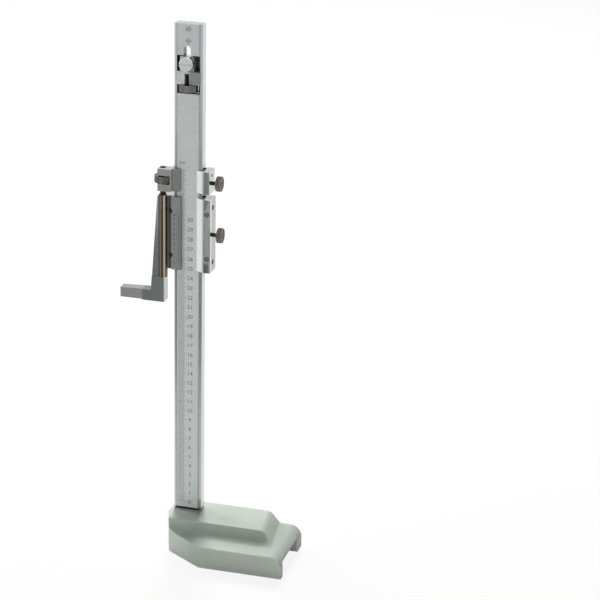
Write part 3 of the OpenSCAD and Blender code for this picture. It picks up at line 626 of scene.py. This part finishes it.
def lettering(words, x, z, height, face_y, thin):
    """Engraved characters on a face that looks to the front, centred at x and z."""
    clear_selection()
    bpy.ops.object.text_add()
    letters = bpy.context.object
    letters.data.body = words
    letters.data.align_x = "CENTER"
    letters.data.align_y = "CENTER"
    letters.data.size = FONT_SIZE_PER_HEIGHT * height * MM
    letters.data.extrude = MARK_DEEP / 2 * MM
    letters.data.offset = thin * MM
    letters.data.resolution_u = 3
    bpy.ops.object.convert(target="MESH")
    letters = bpy.context.object
    bpy.ops.object.mode_set(mode="EDIT")
    bpy.ops.mesh.select_all(action="SELECT")
    bpy.ops.mesh.remove_doubles(threshold=LETTER_MERGE * MM)
    bpy.ops.mesh.dissolve_degenerate(threshold=LETTER_MERGE * MM)
    bpy.ops.mesh.normals_make_consistent(inside=False)
    bpy.ops.object.mode_set(mode="OBJECT")
    letters.rotation_euler = (math.pi / 2, 0, 0)
    letters.location = (x * MM, (face_y + MARK_INSET) * MM, z * MM)
    return settle(letters)


# Main scale: a line each millimetre, longer at 5 mm and longest at 10 mm, numbered to 30 cm
TICK_LEFT_X = -10.2
MM_TICK = (TICK_LEFT_X, -3.8)
HALF_TICK = (TICK_LEFT_X, -2.7)
CM_TICK = (TICK_LEFT_X, -1.4)
MM_LINE, CM_LINE = 0.20, 0.21
main_ticks = [
    tick_row(MM_TICK, SCALE_ZERO_Z + 1, MM_LINE, SCALE_FACE_Y, (4, 1.0), (70, 5.0)),
    tick_row(HALF_TICK, SCALE_ZERO_Z + 5, MM_LINE, SCALE_FACE_Y, (35, 10.0)),
    tick_row(CM_TICK, SCALE_ZERO_Z, CM_LINE, SCALE_FACE_Y, (36, 10.0)),
]
dress(join("scale_graduations", main_ticks), INK, "scale", "black_steel")

NUMBER_X, NUMBER_HEIGHT, NUMBER_THIN = 1.9, 4.1, -0.05
UNIT_X, UNIT_Z, UNIT_HEIGHT = -6.2, SCALE_ZERO_Z + 357.5, 4.0
LAST_CM = 30
main_numbers = [
    lettering(str(cm), NUMBER_X, SCALE_ZERO_Z + 10 * cm, NUMBER_HEIGHT, SCALE_FACE_Y, NUMBER_THIN)
    for cm in range(LAST_CM + 1)
]
main_numbers.append(lettering("cm", UNIT_X, UNIT_Z, UNIT_HEIGHT, SCALE_FACE_Y, NUMBER_THIN))
dress(join("scale_numbers", main_numbers), INK, "scale", "black_steel")

# Vernier: 50 divisions over 49 mm, longer and numbered at each fifth line
VERNIER_PITCH = 0.98
FIVE_LINES = 5 * VERNIER_PITCH
TICK_RIGHT_X = VERNIER_EDGE_X - 0.3
SHORT_TICK = (VERNIER_EDGE_X - 3.0, TICK_RIGHT_X)
LONG_TICK = (VERNIER_EDGE_X - 4.4, TICK_RIGHT_X)
SHORT_LINE, LONG_LINE = 0.16, 0.17
FIRST_SHORT_Z = VERNIER_ZERO_Z + VERNIER_PITCH
SHORT_REPEATS = ((4, VERNIER_PITCH), (10, FIVE_LINES))
vernier_ticks = [
    tick_row(SHORT_TICK, FIRST_SHORT_Z, SHORT_LINE, VERNIER_FACE_Y, *SHORT_REPEATS),
    tick_row(LONG_TICK, VERNIER_ZERO_Z, LONG_LINE, VERNIER_FACE_Y, (11, FIVE_LINES)),
]
dress(join("vernier_graduations", vernier_ticks), INK, "slider", "black_steel")

TENTH_X, TENTH_HEIGHT, TENTH_THIN = VERNIER_EDGE_X - 6.2, 2.3, -0.02
vernier_numbers = [
    lettering(str(tenth), TENTH_X, VERNIER_ZERO_Z + FIVE_LINES * tenth, TENTH_HEIGHT,
              VERNIER_FACE_Y, TENTH_THIN)
    for tenth in range(11)
]
dress(join("vernier_numbers", vernier_numbers), INK, "slider", "black_steel")

# Knurled wheels

KNURL_DEGREES = 28
STEP_WIDTH = 0.25
BORE_SIDES = 48


def knurled_rim(name, radius, thickness, teeth, rows, depth):
    """A wheel along Z with a diamond knurl: rings of vertices that stand out by turns."""
    clear_selection()
    bpy.ops.mesh.primitive_cylinder_add(
        vertices=2 * teeth, radius=(radius - depth) * MM, depth=thickness * MM)
    wheel = bpy.context.object
    wheel.name = name
    bpy.ops.object.mode_set(mode="EDIT")
    bpy.ops.mesh.select_mode(type="EDGE")
    bpy.ops.mesh.select_all(action="DESELECT")
    bpy.ops.object.mode_set(mode="OBJECT")
    for edge in wheel.data.edges:
        ends = [wheel.data.vertices[index].co for index in edge.vertices]
        edge.select = abs(ends[0].z - ends[1].z) > 0.5 * thickness * MM
    bpy.ops.object.mode_set(mode="EDIT")
    bpy.ops.mesh.subdivide(number_cuts=rows)
    step = math.pi / teeth

    def stands_out(co):
        column = round(math.atan2(co.y, co.x) / step)
        row = round((co.z / (thickness * MM) + 0.5) * (rows + 1))
        return 0 < row < rows + 1 and (row + column) % 2 == 0

    select_verts(wheel, stands_out)
    share = radius / (radius - depth)
    bpy.ops.transform.resize(value=(share, share, 1), center_override=(0, 0, 0))
    select_faces(wheel, lambda face: abs(face.normal.z) < 0.9)
    bpy.ops.mesh.quads_convert_to_tris(quad_method="SHORTEST_DIAGONAL", ngon_method="BEAUTY")
    bpy.ops.object.mode_set(mode="OBJECT")
    return wheel


def sink_face(wheel, side, rim, drop):
    """Inset the end face on a side, 1 or -1, by rim, and let its middle in by drop, in mm.

    A negative drop raises the middle."""
    select_faces(wheel, lambda face: face.normal.z * side > 0.99 and len(face.vertices) > 8)
    bpy.ops.mesh.inset(thickness=rim * MM, depth=0)
    bpy.ops.mesh.inset(thickness=STEP_WIDTH * MM, depth=-drop * MM)
    bpy.ops.object.mode_set(mode="OBJECT")


def bore(wheel, radius, low, high):
    """Drill a hole along Z between two levels in mm."""
    clear_selection()
    bpy.ops.mesh.primitive_cylinder_add(
        vertices=BORE_SIDES, radius=radius * MM, depth=(high - low) * MM,
        location=(0, 0, (low + high) / 2 * MM))
    drill = bpy.context.object
    pick(wheel)
    cut = wheel.modifiers.new("bore", "BOOLEAN")
    cut.operation = "DIFFERENCE"
    cut.solver = "EXACT"
    cut.object = drill
    bpy.ops.object.modifier_apply(modifier=cut.name)
    bpy.data.objects.remove(drill)
    return wheel


def smooth(obj, degrees):
    """Shade a piece smooth, apart from edges sharper than an angle."""
    pick(obj)
    bpy.ops.object.shade_smooth_by_angle(angle=math.radians(degrees))
    return obj


def clamp_knob(name, body):
    """Knurled thumb knob on the right of a block, with a dished outer face and a centre dimple."""
    knob = knurled_rim(name, radius=7.5, thickness=5.0, teeth=34, rows=5, depth=0.40)
    sink_face(knob, 1, rim=1.1, drop=0.45)
    sink_face(knob, 1, rim=2.8, drop=-0.35)
    sink_face(knob, 1, rim=1.0, drop=0.5)
    sink_face(knob, -1, rim=1.0, drop=0.3)
    bore(knob, radius=2.03, low=-4.0, high=1.5)
    turn_about(knob, "X", middle(name))
    smooth(knob, KNURL_DEGREES)
    dress(knob, BROWNED, body, "browned_steel", name)


def knurled_nut(name, radius, thickness, teeth, rim, drop, hole, material, body):
    """Knurled nut on an upright thread, with both faces let in or raised by drop inside the rim."""
    wheel = knurled_rim(name, radius, thickness, teeth, rows=7, depth=0.32)
    for side in (1, -1):
        sink_face(wheel, side, rim, drop)
    bore(wheel, hole, low=-6.0, high=6.0)
    turn_about(wheel, "Z", middle(name))
    smooth(wheel, KNURL_DEGREES)
    dress(wheel, material, body, "browned_steel", name)


clamp_knob("slider_clamp_knob", "slider_clamp")
clamp_knob("carrier_clamp_knob", "carrier_clamp")
knurled_nut("feed_nut", radius=8.5, thickness=7.0, teeth=38, rim=3.2, drop=-0.6, hole=3.05,
            material=BROWNED, body="feed_wheel")
knurled_nut("scale_adjust_nut", radius=9.25, thickness=6.9, teeth=40, rim=1.2, drop=0.3, hole=2.05,
            material=DARK_KNURL, body="scale_nut")

# Black rings of painted shade around the set screws in the slider's side, in millimetres

RIM_RADIUS, RIM_HOLE, RIM_THICK = 2.7, 1.7, 0.06
RIM_SUNK = 0.015
RIM_SIDES = 40
RIM_DEGREES = 30
SET_SCREW_RADIUS = 1.75


def set_screw_rim(z):
    """Thin black ring of painted shade around the mouth of a set screw's hole."""
    clear_selection()
    bpy.ops.mesh.primitive_cylinder_add(
        vertices=RIM_SIDES, radius=RIM_RADIUS * MM, depth=RIM_THICK * MM)
    ring = bore(bpy.context.object, RIM_HOLE, low=-1.0, high=1.0)
    return turn_about(ring, "X", (BLOCK_SIDE_X - RIM_SUNK, middle("slider_gib_screws").y, z))


screw_low, screw_high = (corner.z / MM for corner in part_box("slider_gib_screws"))
shade_rings = [set_screw_rim(screw_low + SET_SCREW_RADIUS), set_screw_rim(screw_high - SET_SCREW_RADIUS)]
dress(smooth(join("set_screw_shade_rings", shade_rings), RIM_DEGREES), BLACK, "slider", "black_steel")

# Threads

THREAD_DEGREES = 50
STEPS_PER_TURN = 20
# Turns below the lower end, uneven so that no vertex lies in a cutting plane
LEAD_TURNS = 1.013


def threaded_rod(name, radius, pitch, low, high, depth):
    """A threaded rod along Z between two heights in mm: one tooth wound up, ends cut square."""
    clear_selection()
    turns = math.ceil((high - low) / pitch) + 2
    bpy.ops.mesh.primitive_plane_add(size=pitch * MM, rotation=(math.pi / 2, 0, 0))
    tooth = bpy.context.object
    tooth.name = name
    bpy.ops.object.transform_apply(location=True, rotation=True, scale=True)
    bpy.ops.object.mode_set(mode="EDIT")
    bpy.ops.mesh.select_all(action="SELECT")
    bpy.ops.mesh.delete(type="ONLY_FACE")
    bpy.ops.object.mode_set(mode="OBJECT")
    select_verts(tooth, lambda co: co.x < 0)
    bpy.ops.mesh.delete(type="VERT")
    # Leaving edit mode once keeps the vertices in order
    bpy.ops.object.mode_set(mode="OBJECT")
    bpy.ops.object.mode_set(mode="EDIT")
    bpy.ops.mesh.select_all(action="SELECT")
    bpy.ops.mesh.subdivide(number_cuts=3)
    bpy.ops.object.mode_set(mode="OBJECT")
    root = radius - depth
    # Radius at each quarter of the pitch, from the lower end of the tooth to the upper one
    shape = {-2: root, -1: root, 0: radius, 1: radius, 2: root}
    for vert in tooth.data.vertices:
        vert.co.x = shape[round(vert.co.z / (pitch * MM / 4))] * MM
        vert.co.z += (low - LEAD_TURNS * pitch) * MM
    wind = tooth.modifiers.new("winding", "SCREW")
    wind.axis = "Z"
    wind.screw_offset = pitch * MM
    wind.iterations = turns
    wind.steps = STEPS_PER_TURN
    wind.render_steps = STEPS_PER_TURN
    wind.use_merge_vertices = True
    wind.merge_threshold = MERGE_REACH
    settle(tooth)
    bpy.ops.object.mode_set(mode="EDIT")
    bpy.ops.mesh.select_all(action="SELECT")
    bpy.ops.mesh.remove_doubles(threshold=MERGE_REACH)
    for level, way in ((low, -1), (high, 1)):
        bpy.ops.mesh.select_all(action="SELECT")
        bpy.ops.mesh.bisect(
            plane_co=(0, 0, level * MM), plane_no=(0, 0, way), clear_outer=True, use_fill=True)
    bpy.ops.mesh.select_all(action="SELECT")
    bpy.ops.mesh.fill_holes(sides=0)
    bpy.ops.mesh.normals_make_consistent(inside=False)
    bpy.ops.object.mode_set(mode="OBJECT")
    return tooth


def upright_thread(name, radius, pitch, depth, body):
    """Threaded rod in place of an upright node."""
    low, high = (corner.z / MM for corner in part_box(name))
    rod = threaded_rod(name, radius, pitch, low, high, depth)
    turn_about(rod, "Z", (middle(name).x, middle(name).y, 0))
    dress(smooth(rod, THREAD_DEGREES), BLACK, body, "black_steel", name)


def clamp_thread(name, radius, pitch, depth, body):
    """Threaded stem of a thumb knob, from the gib to the knob."""
    low, high = (corner.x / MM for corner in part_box(name))
    stem = threaded_rod(name, radius, pitch, 0.0, high - low, depth)
    turn_about(stem, "X", (low, middle(name).y, middle(name).z))
    dress(smooth(stem, THREAD_DEGREES), BLACK, body, "black_steel", name)


COARSE_THREAD = {"radius": 3.0, "pitch": 1.0, "depth": 0.5}
FINE_THREAD = {"radius": 2.0, "pitch": 0.7, "depth": 0.35}
upright_thread("feed_screw", body="slider", **COARSE_THREAD)
upright_thread("scale_stud", body="scale", **FINE_THREAD)
clamp_thread("slider_clamp_stem", body="slider_clamp", **FINE_THREAD)
clamp_thread("carrier_clamp_stem", body="carrier_clamp", **FINE_THREAD)

# Stage: floor, light and camera, in metres

FLOOR_SIZE = 24.0
FLOOR_Z = -0.0002
FLOOR_GREY = 0.86
FLOOR_GLOW_SHARE = 0.88


def stage_floor():
    """Wide pale floor that shows white to the camera and keeps a soft shadow."""
    clear_selection()
    bpy.ops.mesh.primitive_plane_add(size=FLOOR_SIZE, location=(0, 0, FLOOR_Z))
    floor = bpy.context.object
    floor.name = "pale_floor"
    bpy.ops.object.transform_apply(location=True, rotation=True, scale=True)
    material = bpy.data.materials.new("pale_floor")
    material.use_nodes = True
    tree = material.node_tree
    shader = tree.nodes["Principled BSDF"]
    shader.inputs["Base Color"].default_value = tone(1, 1, 1, FLOOR_GREY)
    shader.inputs["Roughness"].default_value = 0.9
    shader.inputs["Specular IOR Level"].default_value = 0.0
    glow = tree.nodes.new("ShaderNodeEmission")
    glow.inputs["Color"].default_value = tone(1, 1, 1)
    glow.inputs["Strength"].default_value = 1.0
    paths = tree.nodes.new("ShaderNodeLightPath")
    share = tree.nodes.new("ShaderNodeMath")
    share.operation = "MULTIPLY"
    share.inputs[1].default_value = FLOOR_GLOW_SHARE
    blend = tree.nodes.new("ShaderNodeMixShader")
    tree.links.new(paths.outputs["Is Camera Ray"], share.inputs[0])
    tree.links.new(share.outputs[0], blend.inputs["Fac"])
    tree.links.new(shader.outputs["BSDF"], blend.inputs[1])
    tree.links.new(glow.outputs["Emission"], blend.inputs[2])
    tree.links.new(blend.outputs["Shader"], tree.nodes["Material Output"].inputs["Surface"])
    floor.data.materials.append(material)
    floor.visible_glossy = False


# Directions in the room, in degrees: to the right from straight in front, and up from level
DIM_FRONT = (-46.0, 20.0)
PALE_STRIP = (-23.0, -7.0)
DIM_SIDE = (66.0, 152.0)
DIM_BAND = (-22.7, -17.0)
WALL_SOFT, STRIP_SOFT = 3.0, 2.0
BAND_LOW_SOFT, BAND_HIGH_SOFT = 0.4, 0.8
# Brightness in the room: two shares of the height where it changes, then its value below and above
FRONT_WALL = (0.3, 0.6, 0.72, 1.0)
SIDE_WALL = (0.1, 0.5, 0.22, 1.0)
BAND_LEVEL, STRIP_LEVEL = 0.05, 0.30
FILL_COLOUR, FILL_LEVEL = (0.97, 0.985, 1.0), 0.12


def stage_world():
    """White to the camera, soft fill to surfaces, and to gloss a white room with dim walls."""
    world = bpy.data.worlds.new("studio")
    bpy.context.scene.world = world
    world.use_nodes = True
    tree = world.node_tree
    tree.nodes.clear()

    def add(kind, **values):
        node = tree.nodes.new("ShaderNode" + kind)
        for label, value in values.items():
            node.inputs[label.replace("_", " ")].default_value = value
        return node

    def math_node(operation, first, second):
        node = add("Math")
        node.operation = operation
        for index, value in enumerate((first, second)):
            if isinstance(value, bpy.types.NodeSocket):
                tree.links.new(value, node.inputs[index])
            else:
                node.inputs[index].default_value = value
        return node.outputs[0]

    def ramp(value, low, high, at_low, at_high):
        """A smooth change from one value at low to another at high."""
        node = add("MapRange", From_Min=low, From_Max=high, To_Min=at_low, To_Max=at_high)
        node.interpolation_type = "SMOOTHSTEP"
        tree.links.new(value, node.inputs["Value"])
        return node.outputs["Result"]

    def blend(factor, first, second):
        """first where factor is 0 and second where it is 1."""
        gap = math_node("SUBTRACT", second, first)
        return math_node("ADD", math_node("MULTIPLY", gap, factor), first)

    split = add("SeparateXYZ")
    tree.links.new(add("TexCoord").outputs["Generated"], split.inputs[0])
    ahead = math_node("MULTIPLY", split.outputs["Y"], -1.0)
    azimuth = math_node("ARCTAN2", split.outputs["X"], ahead)
    rise = split.outputs["Z"]

    def sector(first, last, soft):
        """1 between two azimuths, 0 outside them."""
        first, last, soft = (math.radians(angle) for angle in (first, last, soft))
        begins = ramp(azimuth, first - soft, first + soft, 0.0, 1.0)
        return math_node("MULTIPLY", begins, ramp(azimuth, last - soft, last + soft, 1.0, 0.0))

    def edge(angle, soft, at_low, at_high):
        """A change at an angle above level."""
        low, high = (math.sin(math.radians(angle + way * soft)) for way in (-1, 1))
        return ramp(rise, low, high, at_low, at_high)

    band = math_node("MULTIPLY", edge(DIM_BAND[0], BAND_LOW_SOFT, 0.0, 1.0),
                     edge(DIM_BAND[1], BAND_HIGH_SOFT, 1.0, 0.0))
    strip = sector(*PALE_STRIP, STRIP_SOFT)
    wall = ramp(rise, *FRONT_WALL)
    front = blend(band, wall, blend(strip, BAND_LEVEL, STRIP_LEVEL))
    side = ramp(rise, *SIDE_WALL)
    front_room = blend(sector(*DIM_FRONT, WALL_SOFT), 1.0, front)
    room_level = blend(sector(*DIM_SIDE, WALL_SOFT), front_room, side)
    room = add("Background")
    tree.links.new(room_level, room.inputs["Strength"])
    fill = add("Background", Color=tone(*FILL_COLOUR), Strength=FILL_LEVEL)
    white = add("Background", Color=tone(1, 1, 1))
    paths = add("LightPath")
    gloss = add("MixShader")
    shown = add("MixShader")
    tree.links.new(paths.outputs["Is Glossy Ray"], gloss.inputs["Fac"])
    tree.links.new(fill.outputs[0], gloss.inputs[1])
    tree.links.new(room.outputs[0], gloss.inputs[2])
    seen = math_node(
        "MAXIMUM", paths.outputs["Is Camera Ray"], paths.outputs["Is Transmission Ray"])
    tree.links.new(seen, shown.inputs["Fac"])
    tree.links.new(gloss.outputs[0], shown.inputs[1])
    tree.links.new(white.outputs[0], shown.inputs[2])
    tree.links.new(shown.outputs[0], add("OutputWorld").inputs["Surface"])


LAMP_AIM = (0.03, -0.02, 0.1)
# Place, size in metres and power in watts
LAMPS = {
    "back_soft_box": ((-0.45, 1.75, 1.9), 0.8, 74.0),
    "left_soft_box": ((-2.0, 0.9, 0.6), 1.0, 46.0),
    "low_front_soft_box": ((0.3, -2.6, 0.2), 1.2, 23.0),
}


def stage_lamp(name, place, size, power):
    """A square soft box that looks at the foot of the gauge and isn't mirrored in gloss."""
    clear_selection()
    bpy.ops.object.light_add(type="AREA", location=place)
    lamp = bpy.context.object
    lamp.name = name
    lamp.data.size = size
    lamp.data.energy = power
    ahead = Vector(LAMP_AIM) - Vector(place)
    lamp.rotation_euler = ahead.to_track_quat("-Z", "Y").to_euler()
    lamp.visible_glossy = False


CAMERA_PLACE = Vector((0.6366, -1.9617, 1.0374))
CAMERA_YAW, CAMERA_PITCH, CAMERA_ROLL = 0.2615, 0.3608, 0.0209
CAMERA_LENS, CAMERA_SENSOR = 135.14, 36.0
CAMERA_REACH = 100.0


def stage_camera():
    """The photograph's view: place, yaw, pitch and roll of a long lens."""
    flat = math.cos(CAMERA_PITCH)
    ahead = Vector((-math.sin(CAMERA_YAW) * flat, math.cos(CAMERA_YAW) * flat,
                    -math.sin(CAMERA_PITCH)))
    level = Vector((math.cos(CAMERA_YAW), math.sin(CAMERA_YAW), 0))
    above = level.cross(ahead)
    right = math.cos(CAMERA_ROLL) * level + math.sin(CAMERA_ROLL) * above
    top = math.cos(CAMERA_ROLL) * above - math.sin(CAMERA_ROLL) * level
    clear_selection()
    bpy.ops.object.camera_add()
    camera = bpy.context.object
    camera.name = "photo_view"
    camera.data.sensor_fit = "HORIZONTAL"
    camera.data.sensor_width = CAMERA_SENSOR
    camera.data.lens = CAMERA_LENS
    camera.data.clip_end = CAMERA_REACH
    turn = Matrix((right, top, -ahead)).transposed().to_4x4()
    camera.matrix_world = Matrix.Translation(CAMERA_PLACE) @ turn
    bpy.context.scene.camera = camera


stage_floor()
stage_world()
for lamp_name, lamp_values in LAMPS.items():
    stage_lamp(lamp_name, *lamp_values)
stage_camera()
bpy.context.scene.view_settings.view_transform = "Standard"
clear_selection()
